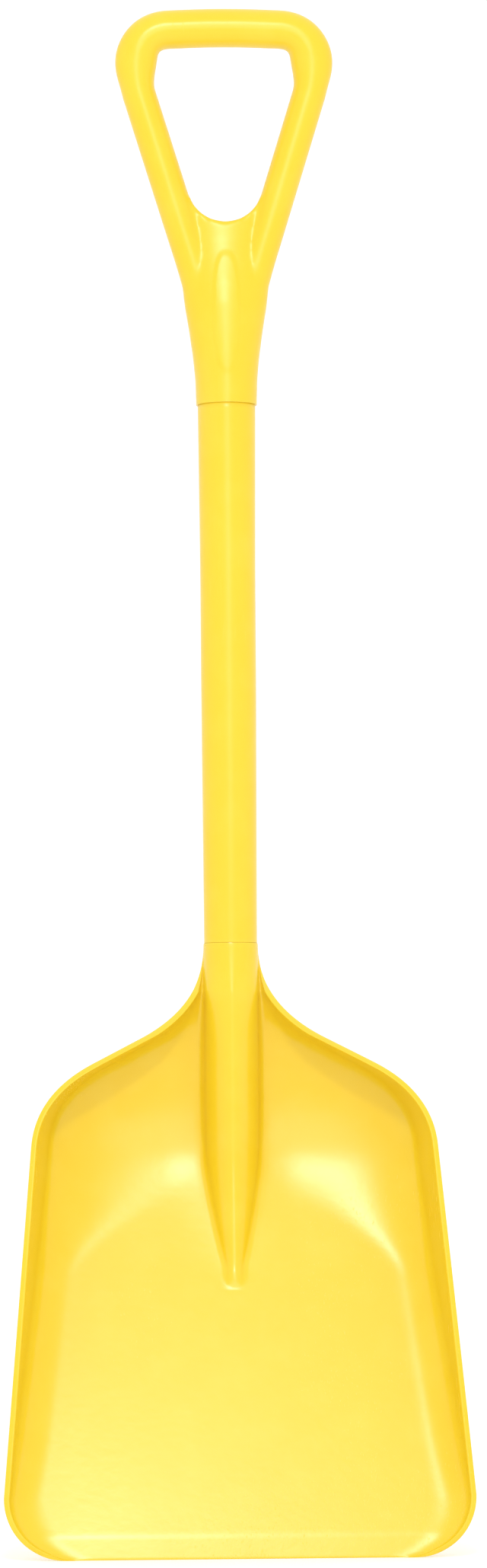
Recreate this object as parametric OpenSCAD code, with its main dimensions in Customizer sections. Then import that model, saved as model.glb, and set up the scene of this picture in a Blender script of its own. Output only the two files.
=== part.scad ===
// Grain scoop shovel: a moulded pan, a sleeved shaft and a moulded D-grip on one stiffening tube.
// Millimetres, +Z up along the shaft, hollow side of the pan towards -Y, blade edge on Z = 0.

/* [Overall] */
// Height from the blade's edge to the top of the grip
overall_height = 1145; // [900:5:1300]
// Greatest width of the blade, near its bottom corners
blade_width = 341; // [280:1:380]
// Angle between the pan's floor and the shaft, in degrees
lift_angle = 24; // [12:1:34]
// Height at which the floor's plane crosses the shaft's axis
floor_axis_z = 279; // [240:1:320]

/* [Pan] */
// Thickness of the pan's floor and walls
pan_wall = 4.2; // [3:0.1:6]
// Front-to-back height of the side walls at the heel
wall_depth = 70; // [40:1:90]
// Front-to-back height of the side walls at the blade's edge
tip_depth = 2.5; // [1:0.5:8]
// Lean of the side walls away from square, in degrees
wall_draft = 13; // [5:1:25]
// Radius of the bottom corners, seen from the front
corner_radius = 44; // [20:1:60]
// Lean of the pan's two sides towards each other, in degrees
side_taper = 4.8; // [0:0.1:8]
// Height at which the sides turn into the shoulders
shoulder_start_z = 296; // [270:1:310]
// Slope of the shoulders, in degrees
shoulder_slope = 27.5; // [15:0.1:45]
// Depth ground off the front of the lip
lip_bevel = 1.6; // [0:0.1:3]
// Width of the round where the floor meets a side wall
floor_round = 24; // [10:1:40]
// Softness of the bend between the floor and the back wall
heel_round = 8; // [4:0.5:16]
// How far the floor swells towards the ridge between the two bowls
ridge_swell = 3.5; // [0:0.1:6]

/* [Shaft and sockets] */
// Outer radius of the stiffening tube
core_radius = 14; // [11:0.5:15]
// Wall of the stiffening tube
core_wall = 3; // [2:0.5:5]
// Radial gap between the stiffening tube and what is pushed over it
core_gap = 0.05; // [0.02:0.01:0.2]
// Outer radius of the pan's socket
socket_radius = 20.2; // [19:0.1:23]
// Outer radius of the sleeve at its lower end
sleeve_low_radius = 19.6; // [18:0.1:22]
// Outer radius of the sleeve's parallel stretch, where a tool clip holds it
clip_radius = 20.5; // [19:0.1:22]
// Outer radius of the sleeve at its upper end
sleeve_high_radius = 21.5; // [19:0.1:23]
// Height of the joint between the pan's socket and the sleeve
blade_joint_z = 446; // [430:1:460]
// Height of the joint between the sleeve and the grip
grip_joint_z = 847; // [830:1:880]
// Lower and upper end of the parallel stretch
clip_span = [640, 720]; // [500:1:800]

/* [Grip] */
// Half the thickness of the crossbar and half its depth
bar_half = [14.5, 14]; // [10:0.5:18]
// Half the width of an arm and half its depth
arm_half = [12.6, 13]; // [9:0.1:16]
// Half the distance between the arms' centres just under the corners
arm_spread = 64; // [50:0.5:75]
// How much thicker the two upper corners are than the arms, on each side
corner_swell = 2.2; // [0:0.1:5]
// Lowest point of the hand opening
opening_low_z = 984; // [960:1:1010]
// Radius of the bottom of the hand opening, touching the arms' inner edges
opening_radius = 27.6; // [20:0.1:34]
// Radius of the grip's skirt where it meets the sleeve
skirt_radius = 22.7; // [21:0.1:25]

/* [Fasteners] */
// Radius of a screw's shank
screw_radius = 2.4; // [2:0.1:3]
// Radius of a screw's head
screw_head_radius = 5; // [4:0.1:6]
// Height of a screw's head
screw_head_height = 3.2; // [2:0.1:4]
// Distance from a tube end to the nearer screw, and between its two screws
screw_pitch = [16, 30]; // [10:1:40]

/* [Hidden] */
$fn = 96;
yellow = [0.99, 0.88, 0.25];
tube_grey = [0.80, 0.80, 0.74];
plug_grey = [0.25, 0.26, 0.28];
steel = [0.75, 0.76, 0.78];
hull_facets = 28;
eps = 0.01;

// The tube's ends, the plugs in them and the screws' heights.
core_low_z = 262;
core_high_z = 925;
plug_length = 60;
core_bore = core_radius - core_wall;
socket_bore = core_radius + core_gap;
socket_end_gap = 2;
screw_seat_y = socket_radius - screw_head_height - 1;
screw_tip_y = -6;
screw_heights_low = [for (k = [0, 1]) core_low_z + screw_pitch[0] + k * screw_pitch[1]];
screw_heights_high = [for (k = [0, 1]) core_high_z - screw_pitch[0] - k * screw_pitch[1]];

function bezier(a, c, b, t) = (1 - t) * (1 - t) * a + 2 * t * (1 - t) * c + t * t * b;
function smooth_min(a, b, k) = (a + b - sqrt((a - b) * (a - b) + 4 * k * k)) / 2;
function smooth_step(t) = t <= 0 ? 0 : t >= 1 ? 1 : t * t * (3 - 2 * t);
function unit(v) = v / norm(v);

// The pan's outline from its bottom edge to the neck, as [half width, height] stations.
corner_steps = 7;
lip_step = 4;
side_steps = 7;
curve_steps = 7;
shoulder_height = 39;
shoulder_lean = 3.3;
shoulder_round = 42.4;
shoulder_straight = 35;
neck_end_gap = 2;
half_width = blade_width / 2;
neck_half = socket_radius - 0.6;
shoulder_half = half_width - (shoulder_start_z - corner_radius) * tan(side_taper);
shoulder_corner = [shoulder_half - shoulder_lean, shoulder_start_z + shoulder_height];
shoulder_end = shoulder_corner + shoulder_round * [-1, tan(shoulder_slope)];
neck_start = shoulder_end + shoulder_straight * [-1, tan(shoulder_slope)];
neck_corner = [neck_half, neck_start[1] + (neck_start[0] - neck_half) * tan(shoulder_slope)];
neck_end = [neck_half, blade_joint_z - neck_end_gap];
outline = concat(
    [for (k = [0:corner_steps]) let (a = 90 * k / corner_steps)
        [half_width - corner_radius * (1 - sin(a)), corner_radius * (1 - cos(a))]],
    [for (k = [1:side_steps]) let (z = corner_radius + (shoulder_start_z - corner_radius) * k / side_steps)
        [half_width - (z - corner_radius) * tan(side_taper), z]],
    [for (k = [1:curve_steps])
        bezier([shoulder_half, shoulder_start_z], shoulder_corner, shoulder_end, k / curve_steps)],
    [for (k = [0:curve_steps]) bezier(neck_start, neck_corner, neck_end, k / curve_steps)]);
lip_height = corner_radius * (1 - cos(90 * lip_step / corner_steps));

// Front-to-back position of the floor, of the back wall and of the rim, from the shaft's axis.
back_offset = 10.6;
back_lean = 3.3;
rim_turn_z = 337;
rim_neck_y = -2;
rim_power = 0.85;
function floor_y(z) = (z - floor_axis_z) * tan(lift_angle);
function back_wall_y(z) = back_offset - (z - floor_axis_z) * tan(back_lean);
function centre_y(z) = smooth_min(floor_y(z), back_wall_y(z), heel_round);
function low_rim_y(z) = floor_y(z) - tip_depth - wall_depth * pow(z / rim_turn_z, rim_power);
function rim_y(z) = z < rim_turn_z ? low_rim_y(z) :
    let (s = smooth_step((z - rim_turn_z) / (neck_end[1] - rim_turn_z)))
    (1 - s) * low_rim_y(rim_turn_z) + s * rim_neck_y;

// Half of a cross-section: a flat floor, a round and a leaning wall, as [distance out, height].
floor_steps = 4;
round_steps = 7;
wall_steps = 2;
half_steps = floor_steps + round_steps + wall_steps;
bowl_low_z = 200;
bowl_high_z = 300;
bowl_reach = 0.94;
wall_round = 0.75;
bowl_middle = 52;
function bowl(z) = smooth_step((z - bowl_low_z) / (bowl_high_z - bowl_low_z));
function swell(x, z) = ridge_swell * bowl(z) * pow(max(0, 1 - x / bowl_middle), 2);
function half_section(k, w, h, z) =
    let (d = wall_draft,
         a = w - h * tan(d),
         q = wall_round * min(floor_round, h / cos(d)),
         p = floor_round + (bowl_reach * a - floor_round) * bowl(z),
         round_end = [a + q * sin(d), q * cos(d)],
         x = (a - p) * k / floor_steps)
    k <= floor_steps ? [x, swell(x, z)] :
    k <= floor_steps + round_steps ?
        let (b = bezier([a - p, 0], [a, 0], round_end, (k - floor_steps) / round_steps))
        b + [0, swell(b[0], z)] :
        round_end + ([w, h] - round_end) * (k - floor_steps - round_steps) / wall_steps;

// Wall thickness at the rim, measured across, grows where the outline runs slantwise.
function outline_run(j) = unit(outline[min(j + 1, len(outline) - 1)] - outline[max(j - 1, 0)]);
function rim_wall(j) = pan_wall * min(2, 1 / max(abs(outline_run(j)[1]), 0.01));
function front_section(j) =
    let (z = outline[j][1],
         w = max(outline[j][0] - rim_wall(j), neck_half / 2),
         h = centre_y(z) - rim_y(z))
    [for (k = [-half_steps:half_steps]) let (s = half_section(abs(k), w, h, z))
        [sign(k) * s[0], centre_y(z) - s[1]]];
function pan_ring(j) =
    let (f = front_section(j),
         z = outline[j][1],
         bevel = z < lip_height - eps ? lip_bevel * (1 - z / lip_height) : 0,
         floor_wall = pan_wall / cos(lift_angle),
         last = len(f) - 1,
         rear = [for (i = [0:last])
             let (t = unit(f[min(i + 1, last)] - f[max(i - 1, 0)]),
                  n = [-t[1], t[0]])
             f[i] + n * (n[1] * n[1] * floor_wall + n[0] * n[0] * rim_wall(j))])
    concat([for (p = f) [p[0], p[1] + bevel, z]], [for (i = [last:-1:0]) [rear[i][0], rear[i][1], z]]);

// The shaft's axis stands behind the middle of the whole object's depth.
front_y = min([for (j = [0:len(outline) - 1]) min([for (p = pan_ring(j)) p[1]])]);
back_y = skirt_radius;
shaft_y = -(front_y + back_y) / 2;

// A closed solid over rings of points, each ring counter-clockwise about the way the rings go.
module skin(rings) {
    m = len(rings[0]);
    top = (len(rings) - 1) * m;
    sides = [for (j = [0:len(rings) - 2], k = [0:m - 1])
        let (a = j * m + k, b = j * m + (k + 1) % m)
        each [[a, b + m, b], [a, a + m, b + m]]];
    low_cap = [for (k = [0:m / 2 - 2]) each [[k, k + 1, m - 2 - k], [k, m - 2 - k, m - 1 - k]]];
    high_cap = [for (f = low_cap) [f[2] + top, f[1] + top, f[0] + top]];
    polyhedron([for (ring = rings) each ring], concat(sides, low_cap, high_cap), convexity = 8);
}

// What crosses the shaft from front to back at one height.
module across(z) {
    translate([0, 0, z]) rotate([-90, 0, 0]) children();
}

module screw_hole(z) {
    across(z) {
        translate([0, 0, screw_tip_y]) cylinder(r = screw_radius, h = 2 * socket_radius);
        translate([0, 0, screw_seat_y]) cylinder(r = screw_head_radius + 0.3, h = socket_radius);
    }
}

screw_recess = 1.8;
recess_share = 0.45;
module screw(z) {
    color(steel) translate([0, shaft_y, 0]) across(z) difference() {
        union() {
            translate([0, 0, screw_tip_y]) cylinder(r = screw_radius, h = screw_seat_y - screw_tip_y);
            translate([0, 0, screw_seat_y]) cylinder(r = screw_head_radius, h = screw_head_height);
        }
        translate([0, 0, screw_seat_y + screw_head_height - screw_recess])
            cylinder(r = screw_head_radius * recess_share, h = screw_recess + 1, $fn = 6);
    }
}

// The socket stands half in front of the back wall and fades into the floor as a pointed nose.
nose_top_z = 272;
nose_tip_z = 200;
nose_tip_radius = 4;
nose_tip_depth = 1;
spine_tip_z = 118;
spine_tip_depth = 8;
trim = 100;
module socket_nose() {
    hull() {
        translate([0, 0, nose_top_z]) sphere(r = socket_radius - 0.4, $fn = hull_facets);
        translate([0, floor_y(nose_tip_z) + nose_tip_depth, nose_tip_z]) sphere(r = nose_tip_radius, $fn = hull_facets);
    }
}

// Behind the floor the socket's closed end runs out as a long tapering spine.
module rear_spine() {
    difference() {
        hull() {
            translate([0, 0, nose_top_z]) sphere(r = socket_radius - 0.4, $fn = hull_facets);
            translate([0, floor_y(spine_tip_z) + spine_tip_depth, spine_tip_z])
                sphere(r = nose_tip_radius, $fn = hull_facets);
        }
        translate([0, 0, floor_axis_z]) rotate([-lift_angle, 0, 0])
            translate([-trim / 2, -trim + pan_wall / 2, -4 * trim]) cube([trim, trim, 8 * trim]);
    }
}

module blade() {
    color(yellow) translate([0, shaft_y, 0]) difference() {
        union() {
            skin([for (j = [0:len(outline) - 1]) pan_ring(j)]);
            translate([0, 0, nose_top_z])
                cylinder(r = socket_radius, h = blade_joint_z - nose_top_z);
            socket_nose();
            rear_spine();
        }
        translate([0, 0, core_low_z - socket_end_gap])
            cylinder(r = socket_bore, h = blade_joint_z);
        for (z = screw_heights_low) screw_hole(z);
    }
}

module shaft_sleeve() {
    color(yellow) translate([0, shaft_y, 0]) difference() {
        union() {
            translate([0, 0, blade_joint_z])
                cylinder(r1 = sleeve_low_radius, r2 = clip_radius, h = clip_span[0] - blade_joint_z);
            translate([0, 0, clip_span[0]])
                cylinder(r = clip_radius, h = clip_span[1] - clip_span[0]);
            translate([0, 0, clip_span[1]])
                cylinder(r1 = clip_radius, r2 = sleeve_high_radius, h = grip_joint_z - clip_span[1]);
        }
        translate([0, 0, blade_joint_z - 1])
            cylinder(r = socket_bore, h = grip_joint_z - blade_joint_z + 2);
    }
}

module shaft_core() {
    color(tube_grey) translate([0, shaft_y, 0]) difference() {
        translate([0, 0, core_low_z]) cylinder(r = core_radius, h = core_high_z - core_low_z);
        translate([0, 0, core_low_z - 1]) cylinder(r = core_bore, h = core_high_z - core_low_z + 2);
        for (z = concat(screw_heights_low, screw_heights_high)) screw_hole(z);
    }
}

module core_plug(z, screw_heights) {
    color(plug_grey) translate([0, shaft_y, 0]) difference() {
        translate([0, 0, z]) cylinder(r = core_bore - core_gap, h = plug_length);
        for (s = screw_heights) screw_hole(s);
    }
}

module core_plug_lower() { core_plug(core_low_z, screw_heights_low); }
module core_plug_upper() { core_plug(core_high_z - plug_length, screw_heights_high); }
module blade_screw_lower() { screw(screw_heights_low[0]); }
module blade_screw_upper() { screw(screw_heights_low[1]); }
module grip_screw_lower() { screw(screw_heights_high[1]); }
module grip_screw_upper() { screw(screw_heights_high[0]); }

// One arm's centre line, from inside the neck up to the middle of the crossbar, as [x, z].
bar_z = overall_height - bar_half[0];
arm_top = [arm_spread, overall_height - 63];
arm_low = [30, 972];
arm_bend = [19, 938];
arm_foot = [12, 905];
corner_bend = [73.5, bar_z - 0.5];
bar_end = [38, bar_z - 1];
bar_crown = [[25, bar_z - 0.5], [12, bar_z - 0.1]];
foot_steps = 4;
arm_steps = 4;
bend_steps = 8;
arm_path = concat(
    [for (k = [0:foot_steps]) bezier(arm_foot, arm_bend, arm_low, k / foot_steps)],
    [for (k = [1:arm_steps - 1]) arm_low + (arm_top - arm_low) * k / arm_steps],
    [for (k = [0:bend_steps]) bezier(arm_top, corner_bend, bar_end, k / bend_steps)],
    bar_crown);
loop_path = concat([for (p = arm_path) [-p[0], p[1]]], [[0, bar_z]],
    [for (k = [len(arm_path) - 1:-1:0]) arm_path[k]]);
loop_sides = 20;
function loop_ring(j) =
    let (last = len(loop_path) - 1,
         p = loop_path[j],
         d = unit(loop_path[min(j + 1, last)] - loop_path[max(j - 1, 0)]),
         s = smooth_step((p[1] - arm_top[1]) / (bar_z - 4 - arm_top[1])),
         half = arm_half + (bar_half - arm_half) * s + [4 * s * (1 - s) * corner_swell, 0])
    [for (k = [0:loop_sides - 1]) let (a = 360 * k / loop_sides)
        [p[0] + half[0] * cos(a) * d[1], half[1] * sin(a), p[1] - half[0] * cos(a) * d[0]]];

// The neck's stations from the skirt to the web between the arms, each as how much higher, wider and
// less deep it is than the skirt.
neck_stations = [[0, 0, 0], [20, 0.6, 0.2], [36, 2.2, 0.8], [56, 5, 1.8], [74, 8, 3], [90, 9.8, 5],
    [106, 10.8, 8], [124, 10, 11], [140, 11, 12.6], [156, 14, 13.2]];
neck_sides = 32;
function neck_ring(s) = [for (k = [0:neck_sides - 1]) let (a = 360 * k / neck_sides)
    [(skirt_radius + s[1]) * cos(a), (skirt_radius - s[2]) * sin(a), grip_joint_z + s[0]]];

module d_grip() {
    color(yellow) translate([0, shaft_y, 0]) difference() {
        union() {
            skin([for (j = [0:len(loop_path) - 1]) loop_ring(j)]);
            difference() {
                skin([for (s = neck_stations) neck_ring(s)]);
                translate([0, 40, opening_low_z + opening_radius]) rotate([90, 0, 0])
                    cylinder(r = opening_radius, h = 80);
            }
        }
        translate([0, 0, grip_joint_z - 1])
            cylinder(r = socket_bore, h = core_high_z + socket_end_gap - grip_joint_z + 1);
        for (z = screw_heights_high) screw_hole(z);
    }
}

blade();
shaft_sleeve();
shaft_core();
d_grip();
core_plug_lower();
core_plug_upper();
blade_screw_lower();
blade_screw_upper();
grip_screw_lower();
grip_screw_upper();
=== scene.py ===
"""Looks of a grain scoop shovel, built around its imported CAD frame.

Shapes are worked out in millimetres from the shaft's axis: x to the right, y towards the back, z up.
place() turns them into metres in the frame."""

import math

import bmesh
import bpy
import numpy as np
from mathutils import Matrix, Vector


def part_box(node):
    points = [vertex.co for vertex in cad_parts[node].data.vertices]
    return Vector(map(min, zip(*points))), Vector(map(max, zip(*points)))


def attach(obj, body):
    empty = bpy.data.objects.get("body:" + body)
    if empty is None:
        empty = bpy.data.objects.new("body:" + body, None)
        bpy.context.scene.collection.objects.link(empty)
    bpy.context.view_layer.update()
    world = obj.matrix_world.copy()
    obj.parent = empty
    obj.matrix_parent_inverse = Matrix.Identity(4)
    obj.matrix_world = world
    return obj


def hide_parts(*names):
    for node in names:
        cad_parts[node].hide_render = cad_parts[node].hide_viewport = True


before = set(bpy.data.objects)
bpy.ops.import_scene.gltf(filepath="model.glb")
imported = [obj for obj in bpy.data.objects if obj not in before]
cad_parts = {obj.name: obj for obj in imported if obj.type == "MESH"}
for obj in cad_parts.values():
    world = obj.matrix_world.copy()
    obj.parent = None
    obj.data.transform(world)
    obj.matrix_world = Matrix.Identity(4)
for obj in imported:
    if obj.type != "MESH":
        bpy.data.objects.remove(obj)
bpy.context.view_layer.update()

MM = 0.001
BODY = "root"


def box_mm(node):
    """A CAD node's lowest and highest corner, in millimetres."""
    low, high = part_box(node)
    return np.array(low) / MM, np.array(high) / MM


# ---------------------------------------------------------------- places and sizes
core_low, core_high = box_mm("shaft_core")
sleeve_low, sleeve_high = box_mm("shaft_sleeve")
blade_low, blade_high = box_mm("blade")
grip_low, grip_high = box_mm("d_grip")
SHAFT_Y = (core_low[1] + core_high[1]) / 2
BORE = (core_high[0] - core_low[0]) / 2 + 0.05
BLADE_JOINT = sleeve_low[2]
GRIP_JOINT = sleeve_high[2]
TOP = grip_high[2]
HALF_WIDTH = (blade_high[0] - blade_low[0]) / 2

# The pan's floor, back wall and rim, as in the CAD.
FLOOR_LEAN = math.radians(24)
LIFT = math.tan(FLOOR_LEAN)
FLOOR_AXIS_Z = 279.0
BACK_WALL_Y = 10.6
BACK_WALL_LEAN = math.tan(math.radians(3.3))
HEEL_ROUND = 8.0
WALL = 4.2
FLOOR_WALL = WALL / math.cos(FLOOR_LEAN)
WALL_DEPTH = 70.0
WALL_CURVE = 0.85
TIP_DEPTH = 2.5
DRAFT = math.radians(13)
FLOOR_ROUND = 24.0
WALL_ROUND = 0.75
RIM_TURN_Z = 337.0
RIM_END_Y = -2.0
RIM_END_GAP = 2.0
RIM_EDGE = 1.2
LIP_HEIGHT = 16.6
LIP_BEVEL = 1.6
LIP_ROUND = 1.2

# The pan's outline.
CORNER = 44.0
TAPER = math.tan(math.radians(4.8))
SHOULDER_Z = 296.0
SHOULDER_SLOPE = math.tan(math.radians(27.5))
SHOULDER_LEAN = 3.3
SHOULDER_HEIGHT = 39.0
SHOULDER_ROUND = 42.4
SHOULDER_STRAIGHT = 35.0

# The bowl under the socket, and the socket.
BOWL_LOW_Z = 200.0
BOWL_HIGH_Z = 300.0
BOWL_MIDDLE = 52.0
BOWL_REACH = 0.94
RIDGE_SWELL = 3.5
SOCKET = 20.2
SOCKET_FLOOR_Z = 260.0
SOCKET_WING = 29.0
SOCKET_CHAMFER = 0.3

# The shaft: radius at its foot and round its middle, and where the middle starts and ends.
SHAFT_FOOT = 19.6
SHAFT_MIDDLE = 20.5
SHAFT_MIDDLE_Z = (640.0, 720.0)

# The grip: half sizes of bar and arms, and the points of its centre line.
BAR_HALF = (14.5, 14.0)
ARM_HALF = (12.6, 13.0)
BAR_Z = TOP - BAR_HALF[0]
ARM_DROP = 63.0
ARM_TOP = (64.0, TOP - ARM_DROP)
ARM_LOW = (30.0, 972.0)
ARM_FOOT = (12.0, 905.0)
ARM_FOOT_BEND = (19.0, 938.0)
CORNER_BEND = (73.5, BAR_Z - 0.5)
CORNER_END = (38.0, BAR_Z - 1)
CORNER_SWELL = 2.2
OPENING_LOW = 984.0
OPENING_RADIUS = 27.6
# Height over the shaft's top, half width and half depth of the neck.
NECK = np.array([
    (-6, 22.7, 22.7), (0, 22.7, 22.7), (20, 23.3, 22.5), (36, 24.9, 21.9), (56, 27.7, 20.9), (74, 30.7, 19.7),
    (90, 32.5, 17.7), (106, 33.5, 14.7), (124, 32.7, 11.7), (140, 33.7, 10.1), (156, 36.7, 9.5)])
# The raised panel on the neck: middle height, half height, half width, and how far it stands out.
PANEL = (915.0, 44.0, 9.5, 0.5)

SCREWS = ("blade_screw_lower", "blade_screw_upper", "grip_screw_lower", "grip_screw_upper")
SCREW_Z = {name: (box_mm(name)[0][2] + box_mm(name)[1][2]) / 2 for name in SCREWS}
SCREW_SEAT = 16.0
SCREW_SHANK = 2.4
SCREW_POINT = 2.2
THREAD_PITCH = 1.8
THREAD_DEPTH = 0.45
HEAD_ROUND = 1.2
HEAD_CLEARANCE = 5.3


def smooth_step(t):
    t = np.clip(t, 0, 1)
    return t * t * (3 - 2 * t)


def ramp(t, soft):
    """t where it is positive and 0 where it is negative, with a soft bend between."""
    return (t + math.sqrt(t * t + soft * soft)) / 2


def bezier(a, c, b, t):
    """Points at t on the curve from a to b that heads for c."""
    a, c, b = (np.asarray(v, float) for v in (a, c, b))
    t = np.asarray(t, float)[:, None]
    return (1 - t) ** 2 * a + 2 * t * (1 - t) * c + t * t * b


def directions(line):
    """Unit vectors along a line of points."""
    run = np.gradient(line, axis=0)
    return run / np.linalg.norm(run, axis=1)[:, None]


def full_turn(sides):
    return np.arange(sides) * 2 * math.pi / sides


# ---------------------------------------------------------------- mesh helpers
def place(points):
    """Millimetres from the shaft's axis to metres in the frame."""
    return (np.asarray(points, float) + (0, SHAFT_Y, 0)) * MM


def tidy(mesh):
    """Welds doubled points, drops edges without length and makes the faces' directions agree."""
    bm = bmesh.new()
    bm.from_mesh(mesh)
    bmesh.ops.remove_doubles(bm, verts=bm.verts, dist=0.00001)
    bmesh.ops.dissolve_degenerate(bm, edges=bm.edges, dist=0.00001)
    bmesh.ops.recalc_face_normals(bm, faces=bm.faces)
    bm.to_mesh(mesh)
    bm.free()


def mesh_object(name, points, faces):
    """An object from points in metres."""
    mesh = bpy.data.meshes.new(name)
    mesh.from_pydata([tuple(p) for p in points], [], faces)
    tidy(mesh)
    obj = bpy.data.objects.new(name, mesh)
    bpy.context.scene.collection.objects.link(obj)
    return obj


def finish_piece(obj, material, smooth_angle=40):
    """Gives a piece its material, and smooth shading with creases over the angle."""
    obj.data.materials.clear()
    obj.data.materials.append(material)
    obj.data.shade_smooth()
    obj.data.set_sharp_from_angle(angle=math.radians(smooth_angle))


def apply_modifiers(obj):
    """The modifiers' result becomes the mesh."""
    evaluated = obj.evaluated_get(bpy.context.evaluated_depsgraph_get())
    mesh = bpy.data.meshes.new_from_object(evaluated)
    obj.modifiers.clear()
    obj.data = mesh


def combine(obj, other, operation):
    """A boolean modifier, not applied yet."""
    modifier = obj.modifiers.new(operation.lower(), "BOOLEAN")
    modifier.operation = operation
    modifier.solver = "EXACT"
    modifier.object = other


def cut(obj, tools):
    """Takes the tools' shapes out of obj."""
    for tool in tools:
        combine(obj, tool, "DIFFERENCE")
    apply_modifiers(obj)
    for tool in tools:
        bpy.data.objects.remove(tool)


def lathe(profile, sides):
    """Points and faces of a closed turned shape about the z axis. The profile is [radius, z], and it is closed."""
    count = len(profile)
    points = [(r * math.cos(a), r * math.sin(a), z) for a in full_turn(sides) for r, z in profile]
    faces = []
    for s in range(sides):
        for k in range(count):
            a, b = s * count + k, s * count + (k + 1) % count
            c, d = ((s + 1) % sides) * count + (k + 1) % count, ((s + 1) % sides) * count + k
            faces.append((a, b, c, d))
    return points, faces


def loft(rings):
    """Points and side faces of rings with equal counts."""
    count = len(rings[0])
    points = np.concatenate(rings)
    faces = []
    for j in range(len(rings) - 1):
        for k in range(count):
            a, b = j * count + k, j * count + (k + 1) % count
            faces.append((a, b, b + count, a + count))
    return points, faces


def capped_loft(name, rings):
    """A loft closed at both ends, as an object without a material."""
    points, faces = loft(rings)
    count = len(rings[0])
    faces += [tuple(range(count)), tuple(range(len(points) - count, len(points)))]
    return mesh_object(name, place(points), faces)


def rod(name, radius, start, end, sides=64):
    """A cylinder between two points."""
    start, end = Vector(start), Vector(end)
    turn = (end - start).normalized().to_track_quat("Z", "Y").to_matrix()
    rings = []
    for centre in (start, end):
        ring = [centre + turn @ Vector((radius * math.cos(a), radius * math.sin(a), 0)) for a in full_turn(sides)]
        rings.append(np.array([tuple(p) for p in ring]))
    return capped_loft(name, rings)


# ---------------------------------------------------------------- materials
def node(tree, kind, links, **inputs):
    """A shader node with its inputs linked or set: links is [(socket, output), ...]."""
    n = tree.nodes.new(kind)
    for name, value in inputs.items():
        n.inputs[name].default_value = value
    for socket, output in links:
        tree.links.new(output, n.inputs[socket])
    return n


def math_node(tree, operation, a, b=None, c=None):
    n = tree.nodes.new("ShaderNodeMath")
    n.operation = operation
    for socket, value in zip(n.inputs, (a, b, c)):
        if value is None:
            continue
        if isinstance(value, (int, float)):
            socket.default_value = value
        else:
            tree.links.new(value, socket)
    return n.outputs[0]


def mix_colour(tree, factor, a, b):
    """Colour a where the factor is 0 and b where it is 1. Each is three numbers or an output."""
    n = tree.nodes.new("ShaderNodeMix")
    n.data_type = "RGBA"
    tree.links.new(factor, n.inputs[0])
    for socket, value in ((n.inputs[6], a), (n.inputs[7], b)):
        if isinstance(value, tuple):
            socket.default_value = (*value, 1)
        else:
            tree.links.new(value, socket)
    return n.outputs[2]


def noise(tree, coordinates, scale, detail=3.0, stretch=(1, 1, 1)):
    """Noise from 0 to 1, in object metres, stretched by its own scale along each axis."""
    mapping = node(tree, "ShaderNodeMapping", [("Vector", coordinates)], Scale=stretch)
    made = node(tree, "ShaderNodeTexNoise", [("Vector", mapping.outputs[0])], Scale=scale, Detail=detail)
    return made.outputs[0]


def spread(tree, value, low, high):
    """Value mapped from low..high to 0..1, and kept there."""
    n = tree.nodes.new("ShaderNodeMapRange")
    n.inputs["From Min"].default_value = low
    n.inputs["From Max"].default_value = high
    tree.links.new(value, n.inputs["Value"])
    return n.outputs[0]


def set_relief(tree, shader, height, strength, distance):
    bump = node(tree, "ShaderNodeBump", [("Height", height)], Strength=strength, Distance=distance)
    tree.links.new(bump.outputs[0], shader.inputs["Normal"])


def new_material(name):
    material = bpy.data.materials.new(name)
    material.use_nodes = True
    tree = material.node_tree
    shader = tree.nodes["Principled BSDF"]
    coordinates = tree.nodes.new("ShaderNodeTexCoord").outputs["Object"]
    return material, tree, shader, coordinates


def moulded_plastic(name, colour, deep, worn, gloss, parting=False):
    """Satin moulded plastic: flow mottling, fine grain, faint scuffs along the shaft and paler worn edges."""
    material, tree, shader, at = new_material(name)
    flow = noise(tree, at, 7.0, 4.0, (1, 1, 0.5))
    cloud = noise(tree, at, 38.0, 3.0)
    mottled = mix_colour(tree, spread(tree, flow, 0.3, 0.7), colour, deep)
    speck = mix_colour(tree, math_node(tree, "MULTIPLY", spread(tree, cloud, 0.45, 0.8), 0.18), mottled, worn)
    scuff_field = noise(tree, at, 60.0, 6.0, (14, 14, 1))
    patch = spread(tree, noise(tree, at, 5.0, 2.0), 0.5, 0.68)
    scuffs = math_node(tree, "MULTIPLY", spread(tree, scuff_field, 0.60, 0.74), patch)
    geometry = tree.nodes.new("ShaderNodeNewGeometry")
    edge = spread(tree, geometry.outputs["Pointiness"], 0.53, 0.62)
    faint_scuffs = math_node(tree, "MULTIPLY", scuffs, 0.35)
    wear = math_node(tree, "MAXIMUM", faint_scuffs, math_node(tree, "MULTIPLY", edge, 0.45))
    tree.links.new(mix_colour(tree, wear, speck, worn), shader.inputs["Base Color"])
    rough = math_node(tree, "MULTIPLY_ADD", flow, 0.10, gloss - 0.05)
    rough = math_node(tree, "MULTIPLY_ADD", scuffs, 0.16, rough)
    tree.links.new(rough, shader.inputs["Roughness"])
    grain = noise(tree, at, 1400.0, 2.0)
    peel = noise(tree, at, 170.0, 2.0)
    relief = math_node(tree, "MULTIPLY_ADD", grain, 0.25, math_node(tree, "MULTIPLY", peel, 0.75))
    relief = math_node(tree, "MULTIPLY_ADD", scuffs, -0.6, relief)
    if parting:
        depth = node(tree, "ShaderNodeSeparateXYZ", [(0, at)]).outputs["Y"]
        off = math_node(tree, "ABSOLUTE", math_node(tree, "SUBTRACT", depth, SHAFT_Y * MM))
        line = math_node(tree, "SUBTRACT", 1.0, spread(tree, off, 0.0001, 0.00045))
        relief = math_node(tree, "MULTIPLY_ADD", line, 2.2, relief)
    set_relief(tree, shader, relief, 0.35, 0.00012)
    shader.inputs["IOR"].default_value = 1.49
    return material


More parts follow.
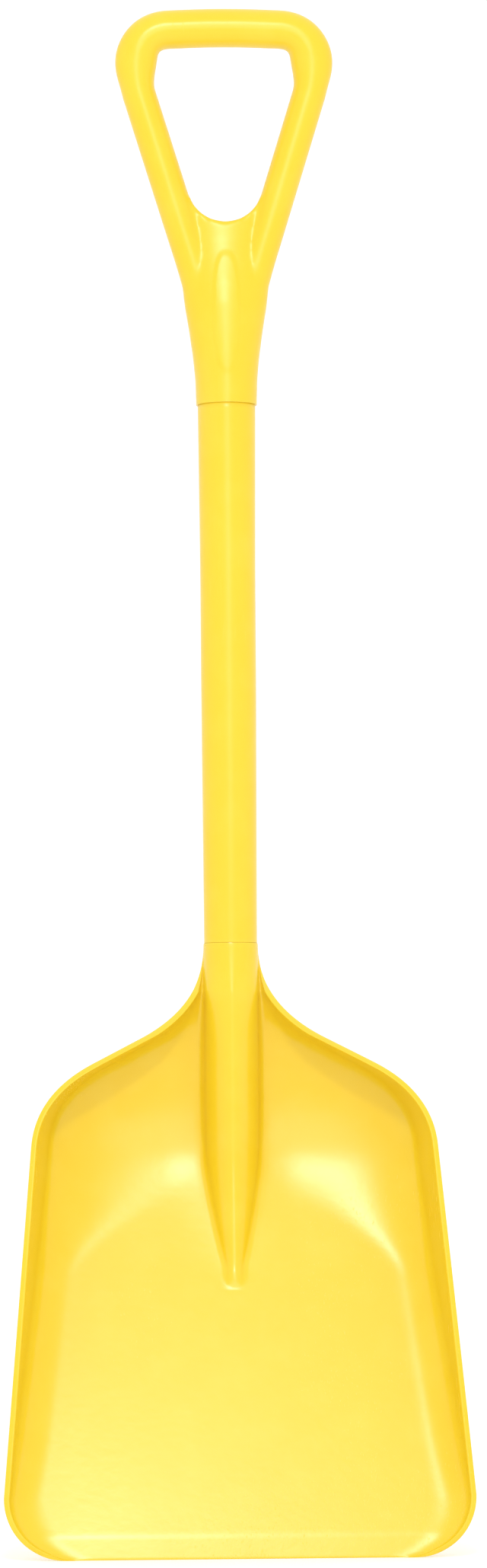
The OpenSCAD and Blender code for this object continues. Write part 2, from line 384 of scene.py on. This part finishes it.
def turned_steel(name):
    """Satin stainless steel with turning marks."""
    material, tree, shader, at = new_material(name)
    rings = noise(tree, at, 900.0, 3.0, (1, 0.2, 1))
    tree.links.new(mix_colour(tree, rings, (0.50, 0.50, 0.51), (0.70, 0.70, 0.71)), shader.inputs["Base Color"])
    tree.links.new(math_node(tree, "MULTIPLY_ADD", rings, 0.2, 0.22), shader.inputs["Roughness"])
    set_relief(tree, shader, rings, 0.2, 0.00005)
    shader.inputs["Metallic"].default_value = 1.0
    return material


def fibre_tube(name):
    """Pultruded glass-fibre: pale resin with fibres along the tube."""
    material, tree, shader, at = new_material(name)
    fibres = noise(tree, at, 500.0, 4.0, (1, 1, 0.03))
    tree.links.new(mix_colour(tree, fibres, (0.62, 0.62, 0.52), (0.82, 0.82, 0.74)), shader.inputs["Base Color"])
    shader.inputs["Roughness"].default_value = 0.45
    set_relief(tree, shader, fibres, 0.3, 0.0001)
    return material


def dark_plastic(name):
    """Matt moulded plug plastic."""
    material, tree, shader, at = new_material(name)
    grain = noise(tree, at, 800.0, 3.0)
    tree.links.new(mix_colour(tree, grain, (0.035, 0.035, 0.04), (0.07, 0.07, 0.075)), shader.inputs["Base Color"])
    tree.links.new(math_node(tree, "MULTIPLY_ADD", grain, 0.2, 0.5), shader.inputs["Roughness"])
    set_relief(tree, shader, grain, 0.3, 0.0001)
    return material


YELLOW = (0.80, 0.565, 0.02)
DEEP_YELLOW = (0.79, 0.545, 0.015)
WORN_YELLOW = (0.82, 0.64, 0.08)
pan_plastic = moulded_plastic("pan_plastic", YELLOW, DEEP_YELLOW, WORN_YELLOW, 0.25)
handle_plastic = moulded_plastic("handle_plastic", YELLOW, DEEP_YELLOW, WORN_YELLOW, 0.30, parting=True)
steel = turned_steel("screw_steel")
glass_fibre = fibre_tube("tube_glass_fibre")
plug_plastic = dark_plastic("plug_plastic")


# ---------------------------------------------------------------- the pan's surfaces
def floor_y(z):
    return (z - FLOOR_AXIS_Z) * LIFT


def centre_y(z):
    """Front of the floor and of the back wall on the middle line."""
    back = BACK_WALL_Y - (z - FLOOR_AXIS_Z) * BACK_WALL_LEAN
    return (floor_y(z) + back - math.sqrt((floor_y(z) - back) ** 2 + 4 * HEEL_ROUND**2)) / 2


def rim_y(z):
    """The side walls' edge, which runs in to the neck over the shoulders."""
    low = min(z, RIM_TURN_Z)
    side = floor_y(low) - TIP_DEPTH - WALL_DEPTH * (low / RIM_TURN_Z) ** WALL_CURVE
    s = smooth_step((z - RIM_TURN_Z) / (BLADE_JOINT - RIM_END_GAP - RIM_TURN_Z))
    return (1 - s) * side + RIM_END_Y * s


def outline():
    """The pan's outer half width and height, from the lip to the neck."""
    turn = np.linspace(0, math.pi / 2, 26)
    corner = np.stack([HALF_WIDTH - CORNER * (1 - np.sin(turn)), CORNER * (1 - np.cos(turn))], 1)
    z = np.linspace(CORNER, SHOULDER_Z, 70)[1:]
    side = np.stack([HALF_WIDTH - (z - CORNER) * TAPER, z], 1)
    start = side[-1]
    bend = start + (-SHOULDER_LEAN, SHOULDER_HEIGHT)
    end = bend + np.array((-SHOULDER_ROUND, SHOULDER_ROUND * SHOULDER_SLOPE))
    neck = end + np.array((-SHOULDER_STRAIGHT, SHOULDER_STRAIGHT * SHOULDER_SLOPE))
    crook = np.array((SOCKET, neck[1] + (neck[0] - SOCKET) * SHOULDER_SLOPE))
    shoulder = bezier(start, bend, end, np.linspace(0, 1, 30)[1:])
    slope = end + (neck - end) * np.linspace(0, 1, 12)[1:, None]
    fillet = bezier(neck, crook, (SOCKET, BLADE_JOINT - 1), np.linspace(0, 1, 40)[1:])
    return np.concatenate([corner, side, shoulder, slope, fillet])


def offset_curve(curve, across):
    """The wall's outer face: a half-section moved out by the wall's thickness."""
    run = directions(curve)
    out = np.stack([-run[:, 1], run[:, 0]], 1)
    thick = out[:, 1] ** 2 * FLOOR_WALL + out[:, 0] ** 2 * across
    return curve + out * thick[:, None]


def base_curve(z, width):
    """Half of the pan's inner face at one height, without the ridge: floor, round and leaning wall."""
    height = centre_y(z) - rim_y(z)
    foot = width - height * math.tan(DRAFT)
    bowl = smooth_step((z - BOWL_LOW_Z) / (BOWL_HIGH_Z - BOWL_LOW_Z))
    reach = FLOOR_ROUND + (BOWL_REACH * foot - FLOOR_ROUND) * bowl
    rise = WALL_ROUND * min(FLOOR_ROUND, height / math.cos(DRAFT))
    top = (foot + rise * math.sin(DRAFT), rise * math.cos(DRAFT))
    floor = np.stack([np.linspace(0, foot - reach, 24), np.zeros(24)], 1)
    bend = bezier((foot - reach, 0), (foot, 0), top, np.linspace(0, 1, 60)[1:])
    wall = np.asarray(top) + (np.array((width, height)) - top) * np.linspace(0, 1, 16)[1:, None]
    half = np.concatenate([floor, bend, wall])
    half[:, 1] += RIDGE_SWELL * bowl * np.maximum(0, 1 - half[:, 0] / BOWL_MIDDLE) ** 2
    return np.stack([half[:, 0], centre_y(z) - half[:, 1]], 1)


def resample(curve, start_x, cut_end, count):
    """Points along a curve from start_x to cut_end short of its end, closer together towards the rim."""
    x0 = max(start_x, 0.0)
    start_y = np.interp(x0, curve[:, 0], curve[:, 1])
    kept = np.concatenate([[(x0, start_y)], curve[curve[:, 0] > x0 + 0.01]])
    length = np.concatenate([[0], np.cumsum(np.linalg.norm(np.diff(kept, axis=0), axis=1))])
    share = 1 - (1 - np.linspace(0, 1, count)) ** 1.35
    at = share * (length[-1] - cut_end)
    return np.stack([np.interp(at, length, kept[:, i]) for i in range(2)], 1)


# ---------------------------------------------------------------- the ridge and the spine
# Tip height, top height, radius at the tip, depth of its centre behind the floor, and length of the fade below it.
NOSE = (208.0, 279.0, 9.0, 4.4, 12.0)
SPINE = (118.0, 279.0, 4.0, 8.0, 14.0)
RIDGE_FILLET = 3.6
ARC_POINTS = 15
FILLET_POINTS = 9
SIDE_POINTS = 46
RIM_POINTS = 5


def ridge_circle(z, front):
    """Radius of the round standing out of the pan, the height of its centre over the pan, and its fade at the tip."""
    tip, top, small, depth, fade_length = NOSE if front else SPINE
    held = max(z, tip)
    s = min(ramp((top - held) / (top - tip), 0.12), 1.0)
    radius = SOCKET + (small - SOCKET) * s
    tip_y = floor_y(tip) + depth
    over = centre_y(held) - tip_y * s if front else tip_y * s - centre_y(held) - FLOOR_WALL
    gone = max(tip - z, 0) / fade_length
    return radius, over, math.sqrt(max(0.0, 1 - gone * gone))


def ridge(z, base, front):
    """Half of the round from its crest down onto the pan, then its fillet, on the pan's face given as base."""
    sign = -1 if front else 1
    radius, over, fade = ridge_circle(z, front)
    meet = math.acos(np.clip(-over / radius, -1, 1))
    last = max(math.radians(12), min(math.radians(78), meet - math.radians(14)))
    turn = np.linspace(0, last, ARC_POINTS)
    arc = np.stack([radius * np.sin(turn), over + radius * np.cos(turn)], 1)
    drop = arc[-1][1] / math.sin(last)
    control = (arc[-1][0] + drop * math.cos(last), 0)
    foot = (control[0] + max(RIDGE_FILLET, 0.3 * (SOCKET - radius)), 0)
    fillet = bezier(arc[-1], control, foot, np.linspace(0, 1, FILLET_POINTS)[1:])
    half = np.concatenate([arc, fillet])
    y = np.interp(half[:, 0], base[:, 0], base[:, 1]) + sign * half[:, 1] * fade
    return np.stack([half[:, 0], y], 1)


def half_ring(z, width, across):
    """Half of a pan section, from the crest in front round the rim to the crest behind."""
    inner = base_curve(z, width - across)
    outer = offset_curve(inner, across)
    bevel = LIP_BEVEL * max(0.0, 1 - z / LIP_HEIGHT)
    front_ridge = ridge(z, inner, True)
    rear_ridge = ridge(z, outer, False)
    edge = min(RIM_EDGE, 0.3 * (centre_y(z) - rim_y(z)))
    front = resample(inner, front_ridge[-1][0], edge, SIDE_POINTS)[1:]
    rear = resample(outer, rear_ridge[-1][0], edge, SIDE_POINTS)[1:]
    lead, trail = inner[-1], outer[-1]
    toward = (trail - lead) / np.linalg.norm(trail - lead)
    turn = np.linspace(0, 1, RIM_POINTS + 2)[1:]
    first = bezier(front[-1], lead, lead + toward * edge, turn)
    second = bezier(trail - toward * edge, trail, rear[-1], turn)
    front_side = np.concatenate([front_ridge, front, first])
    front_side[:, 1] += bevel
    return np.concatenate([front_side, second[:-1], rear[::-1], rear_ridge[::-1]])


def socket_half():
    """The same number of points round half of the socket, for the neck above the pan."""
    spans = ((0, 78, ARC_POINTS), (78, 84, FILLET_POINTS), (84, 90, SIDE_POINTS + RIM_POINTS + 1))
    front = np.concatenate([[0], *(np.radians(np.linspace(*span)[1:]) for span in spans)])
    turn = np.concatenate([front, math.pi - front[-2::-1]])
    return np.stack([SOCKET * np.sin(turn), -SOCKET * np.cos(turn)], 1)


def whole_ring(half, z):
    """A closed ring from half of it."""
    right = np.column_stack([half, np.full(len(half), z)])
    left = right[-2:0:-1] * (-1, 1, 1)
    return np.concatenate([right, left])


def build_blade():
    """Rings from the lip up to the neck, then down inside the socket to its floor."""
    circle = socket_half()
    stations = outline()
    rings = []
    for (width, z), direction in zip(stations, directions(stations)):
        across = WALL * min(2.0, 1 / max(abs(direction[1]), 0.01))
        half = half_ring(z, max(width, SOCKET_WING), across)
        if width < SOCKET_WING:
            s = min((SOCKET_WING - width) / (SOCKET_WING - SOCKET), 1.0)
            half = half + (circle - half) * s
        if z < LIP_ROUND:
            middle = (half + half[::-1]) / 2
            half = middle + (half - middle) * (0.5 + 0.5 * math.sqrt(1 - (1 - z / LIP_ROUND) ** 2))
        rings.append(whole_ring(half, z))
    mouth = ((SOCKET - SOCKET_CHAMFER, BLADE_JOINT - 0.05), (BORE, BLADE_JOINT), (BORE, SOCKET_FLOOR_Z))
    rings += [whole_ring(circle * radius / SOCKET, z) for radius, z in mouth]
    points, faces = loft(rings)
    count, half_count = len(rings[0]), len(circle)
    for k in range(half_count // 2 - 1):
        lip = (k, k + 1, half_count - 2 - k, half_count - 1 - k)
        faces += [lip, tuple((count - i) % count for i in reversed(lip))]
    top = len(points) - count
    points = np.concatenate([points, [(0, 0, SOCKET_FLOOR_Z)]])
    faces += [(top + k, top + (k + 1) % count, len(points) - 1) for k in range(count)]
    pan = mesh_object("pan_moulding", place(points), faces)
    cut(pan, screw_recesses("blade"))
    finish_piece(pan, pan_plastic, 50)
    return pan


# ---------------------------------------------------------------- shaft, grip and screws
def build_sleeve():
    """The tapering shaft, with its changes of slope smoothed."""
    top_radius = (sleeve_high[0] - sleeve_low[0]) / 2
    z = np.linspace(BLADE_JOINT + 0.3, GRIP_JOINT - 0.2, 90)
    slopes = ((BLADE_JOINT, SHAFT_FOOT), *((m, SHAFT_MIDDLE) for m in SHAFT_MIDDLE_Z), (GRIP_JOINT, top_radius))
    radius = np.interp(z, *zip(*slopes))
    radius = np.convolve(np.pad(radius, 4, mode="edge"), np.ones(9) / 9, "valid")
    profile = [(SHAFT_FOOT - 0.3, BLADE_JOINT), *zip(radius, z), (top_radius - 0.2, GRIP_JOINT)]
    profile += [(BORE, GRIP_JOINT), (BORE, BLADE_JOINT)]
    points, faces = lathe(profile, 128)
    shaft = mesh_object("shaft_moulding", place(points), faces)
    finish_piece(shaft, handle_plastic)
    return shaft


def loop_path():
    """The grip's centre line from one foot inside the neck, round the crossbar, to the other: [x, z]."""
    foot = bezier(ARM_FOOT, ARM_FOOT_BEND, ARM_LOW, np.linspace(0, 1, 14))
    arm = np.array(ARM_LOW) + np.subtract(ARM_TOP, ARM_LOW) * np.linspace(0, 1, 16)[1:-1, None]
    corner = bezier(ARM_TOP, CORNER_BEND, CORNER_END, np.linspace(0, 1, 30))
    bar = np.array([(25, BAR_Z - 0.5), (12, BAR_Z - 0.1)])
    right = np.concatenate([foot, arm, corner, bar])
    return np.concatenate([right * (-1, 1), [(0, BAR_Z)], right[::-1]])


def loop_rings(sides=48):
    path = loop_path()
    turn = full_turn(sides)
    rings = []
    for (x, z), (dx, dz) in zip(path, directions(path)):
        s = smooth_step((z - (TOP - ARM_DROP)) / (ARM_DROP - BAR_HALF[0] - 4))
        wide, deep = (a + (b - a) * s for a, b in zip(ARM_HALF, BAR_HALF))
        wide += 4 * s * (1 - s) * CORNER_SWELL
        c, d = wide * np.cos(turn), deep * np.sin(turn)
        rings.append(np.stack([x + c * dz, d, z - c * dx], 1))
    return rings


def neck_rings(sides=64):
    turn = full_turn(sides)
    rings = []
    for z in np.linspace(NECK[0, 0], NECK[-1, 0], 60):
        wide, deep = (np.interp(z, NECK[:, 0], NECK[:, i]) for i in (1, 2))
        rings.append(np.stack([wide * np.cos(turn), deep * np.sin(turn), np.full(sides, GRIP_JOINT + z)], 1))
    return rings


def screw_recesses(prefix):
    """The counterbores that one moulding's screw heads sit in."""
    return [rod("recess", HEAD_CLEARANCE, (0, SCREW_SEAT, z), (0, 40, z))
            for name, z in SCREW_Z.items() if name.startswith(prefix)]


def build_grip():
    """Loop, neck and web become one moulding with soft blends between them."""
    grip = capped_loft("grip_moulding", loop_rings())
    neck = capped_loft("neck", neck_rings())
    middle = OPENING_LOW + OPENING_RADIUS
    cut(neck, [rod("opening", OPENING_RADIUS, (0, -60, middle), (0, 60, middle), 96)])
    combine(grip, neck, "UNION")
    remesh = grip.modifiers.new("remesh", "REMESH")
    remesh.mode = "VOXEL"
    remesh.voxel_size = 1.3 * MM
    smooth = grip.modifiers.new("smooth", "SMOOTH")
    smooth.factor = 0.5
    smooth.iterations = 18
    apply_modifiers(grip)
    bpy.data.objects.remove(neck)
    raise_panel(grip.data)
    skirt = rod("skirt", 60, (0, 0, GRIP_JOINT - 30), (0, 0, GRIP_JOINT))
    bore = rod("bore", BORE, (0, 0, GRIP_JOINT - 40), (0, 0, core_high[2] + 2))
    cut(grip, [skirt, bore, *screw_recesses("grip")])
    finish_piece(grip, handle_plastic, 45)
    return grip


def raise_panel(mesh):
    """A plain raised oval on the front of the neck, with a soft step round it."""
    middle, half_height, half_wide, raised = PANEL
    co = np.zeros(len(mesh.vertices) * 3)
    mesh.vertices.foreach_get("co", co)
    co = co.reshape(-1, 3)
    x, y, z = (co / MM).T
    reach = np.sqrt((np.abs(x) / half_wide) ** 2.6 + (np.abs(z - middle) / half_height) ** 2.6)
    inside = smooth_step((1.12 - reach) / 0.2) * (y < SHAFT_Y)
    co[:, 1] -= inside * raised * MM
    mesh.vertices.foreach_set("co", co.ravel())


def build_screw(name):
    """A pan head with a rounded edge and a six-sided socket, on a threaded shank."""
    low, high = box_mm(name)
    head, z = (high[0] - low[0]) / 2, SCREW_Z[name]
    tip, top = low[1] - SHAFT_Y, high[1] - SHAFT_Y
    profile = [(0, tip), (1.2, tip), (SCREW_SHANK, tip + SCREW_POINT)]
    turns = int((SCREW_SEAT - 3 - tip - SCREW_POINT) / THREAD_PITCH)
    for k in range(turns):
        start = tip + SCREW_POINT + k * THREAD_PITCH
        profile += [(SCREW_SHANK - THREAD_DEPTH, start + 0.5 * THREAD_PITCH), (SCREW_SHANK, start + 0.9 * THREAD_PITCH)]
    profile += [(SCREW_SHANK, SCREW_SEAT), (head - 0.3, SCREW_SEAT), (head, SCREW_SEAT + 0.3), (head, top - HEAD_ROUND)]
    profile += [(head - HEAD_ROUND + HEAD_ROUND * math.cos(a), top - HEAD_ROUND + HEAD_ROUND * math.sin(a))
                for a in np.radians((30, 60, 90))]
    profile += [(0, top)]
    points, faces = lathe(profile, 64)
    screw = mesh_object(name + "_turned", place([(x, w, z - y) for x, y, w in points]), faces)
    cut(screw, [rod("socket", head * 0.45, (0, top - 1.8, z), (0, top + 2, z), 6)])
    finish_piece(screw, steel, 35)
    return screw


def settle(piece, replaced):
    """The piece rides on the shovel's one body, in place of a CAD node."""
    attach(piece, BODY)
    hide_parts(replaced)


settle(build_blade(), "blade")
settle(build_sleeve(), "shaft_sleeve")
settle(build_grip(), "d_grip")
for screw_name in SCREWS:
    settle(build_screw(screw_name), screw_name)
for name, material, slot in (("shaft_core", glass_fibre, "glass_fibre"),
                             ("core_plug_lower", plug_plastic, "plug_plastic"),
                             ("core_plug_upper", plug_plastic, "plug_plastic")):
    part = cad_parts[name]
    part.data.materials.clear()
    part.data.materials.append(material)


# ---------------------------------------------------------------- floor, light and camera
def studio_floor():
    """A plain pale studio, in metres: a wide round floor that curves up into a low wall."""
    material, tree, shader, at = new_material("studio_white")
    tone = noise(tree, at, 2.0, 3.0)
    tree.links.new(mix_colour(tree, tone, (0.74, 0.74, 0.74), (0.78, 0.78, 0.78)), shader.inputs["Base Color"])
    shader.inputs["Roughness"].default_value = 0.8
    shader.inputs["Emission Color"].default_value = (1, 1, 1, 1)
    shader.inputs["Emission Strength"].default_value = 0.27
    flat, bend, wall_top, sides = 22.0, 6.0, 10.0, 96
    rise = [(flat + bend * math.sin(a), bend - bend * math.cos(a)) for a in np.linspace(0, math.pi / 2, 24)]
    rise += [(flat + bend, wall_top)]
    turn = full_turn(sides)
    points, faces = loft([np.stack([r * np.cos(turn), r * np.sin(turn), np.full(sides, z)], 1) for r, z in rise])
    faces.append(tuple(range(sides)))
    floor = mesh_object("studio_floor", points, faces)
    floor.data.materials.append(material)
    floor.data.shade_smooth()
    floor.data.set_sharp_from_angle(angle=math.radians(30))


def area_light(name, location, target, size, watts):
    data = bpy.data.lights.new(name, "AREA")
    data.shape = "RECTANGLE"
    data.size, data.size_y = size
    data.energy = watts
    light = bpy.data.objects.new(name, data)
    light.location = location
    light.rotation_euler = (Vector(target) - Vector(location)).to_track_quat("-Z", "Y").to_euler()
    bpy.context.scene.collection.objects.link(light)


def sky(level, overhead):
    """White light from all round: level at the horizon and below it, overhead at the top."""
    world = bpy.data.worlds.new("studio")
    bpy.context.scene.world = world
    world.use_nodes = True
    tree = world.node_tree
    background = tree.nodes["Background"]
    background.inputs["Color"].default_value = (1, 1, 1, 1)
    direction = tree.nodes.new("ShaderNodeTexCoord").outputs["Generated"]
    height = node(tree, "ShaderNodeSeparateXYZ", [(0, direction)]).outputs["Z"]
    strength = math_node(tree, "MULTIPLY_ADD", spread(tree, height, 0.0, 0.9), overhead - level, level)
    tree.links.new(strength, background.inputs["Strength"])


def camera(distance, azimuth, elevation, roll, frame_height, centre):
    """A long lens at the given angle. Frame height is what the picture's long side takes in, in metres."""
    data = bpy.data.cameras.new("camera")
    data.lens = data.sensor_width * distance / frame_height
    data.clip_end = 100
    cam = bpy.data.objects.new("camera", data)
    a, e = math.radians(azimuth), math.radians(elevation)
    back = Vector((math.sin(a) * math.cos(e), -math.cos(a) * math.cos(e), math.sin(e)))
    turn = (-back).to_track_quat("-Z", "Y").to_matrix() @ Matrix.Rotation(math.radians(roll), 3, "Z")
    cam.matrix_world = Matrix.Translation(Vector(centre) + back * distance) @ turn.to_4x4()
    bpy.context.scene.collection.objects.link(cam)
    bpy.context.scene.camera = cam


studio_floor()
sky(0.82, 1.2)
area_light("front_softbox", (0.1, -4.0, 1.45), (0, 0, 0.6), (1.2, 1.5), 14)
area_light("key", (-0.1, -2.85, 2.3), (0, 0, 0.3), (0.3, 0.3), 21)
camera(4.6, -2.1, -3.4, -0.45, 1.1642, (0.0105, SHAFT_Y * MM, 0.5642))
bpy.context.scene.view_settings.view_transform = "Standard"
